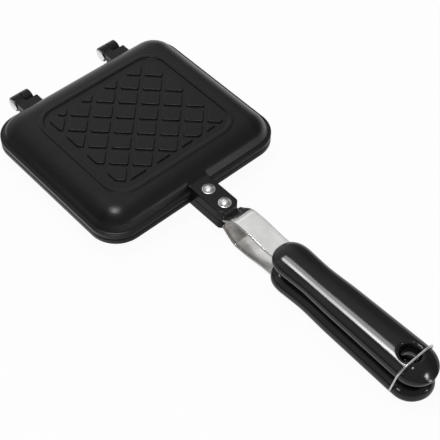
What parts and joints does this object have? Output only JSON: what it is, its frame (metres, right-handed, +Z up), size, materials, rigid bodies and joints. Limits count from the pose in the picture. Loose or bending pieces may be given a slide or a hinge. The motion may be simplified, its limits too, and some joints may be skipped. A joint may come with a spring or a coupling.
{
  "type": "pie iron",
  "caption": "Hinged double pan for toasting a filled sandwich, with a raised diamond lattice on each face, steel straps, black grips and a wire bail that holds the grips shut.",
  "frame": {"origin": "middle of the pan, on the plane of the raised line that the closed iron stands on", "axes": "+X from the hinges along the handles, +Y across the pan, +Z up through both closed pans"},
  "size_m": [0.3399, 0.145, 0.0337],
  "materials": {
    "coated_pan": "cast, with a satin black non-stick coat",
    "hinge_pin": "bright, with a domed head",
    "strap_steel": "polished along its length",
    "rivet": "bright domed head",
    "grip_screw": "zinc plated",
    "grip_plastic": "glossy moulded black",
    "bail_wire": "bright drawn wire"
  },
  "bodies": {
    "lower": {"lower_pan": "coated_pan", "hinge_pin_left": "hinge_pin", "hinge_pin_right": "hinge_pin", "lower_strap": "strap_steel", "lower_front_rivet": "rivet", "lower_rear_rivet": "rivet", "lower_grip": "grip_plastic", "lower_grip_screw": "grip_screw"},
    "upper": {"upper_pan": "coated_pan", "upper_strap": "strap_steel", "upper_front_rivet": "rivet", "upper_rear_rivet": "rivet", "upper_grip": "grip_plastic", "upper_grip_screw": "grip_screw"},
    "bail": {"wire_bail": "bail_wire"}
  },
  "joints": [
    {"name": "lid_hinge", "type": "hinge", "parent": "lower", "child": "upper", "pos_m": [-0.077, 0, 0.016], "axis": [0, -1, 0], "range_deg": [0, 180]},
    {"name": "bail_pivot", "type": "hinge", "parent": "lower", "child": "bail", "pos_m": [0.241, 0, 0.0075], "axis": [0, 1, 0], "range_deg": [-16, 95]}
  ]
}
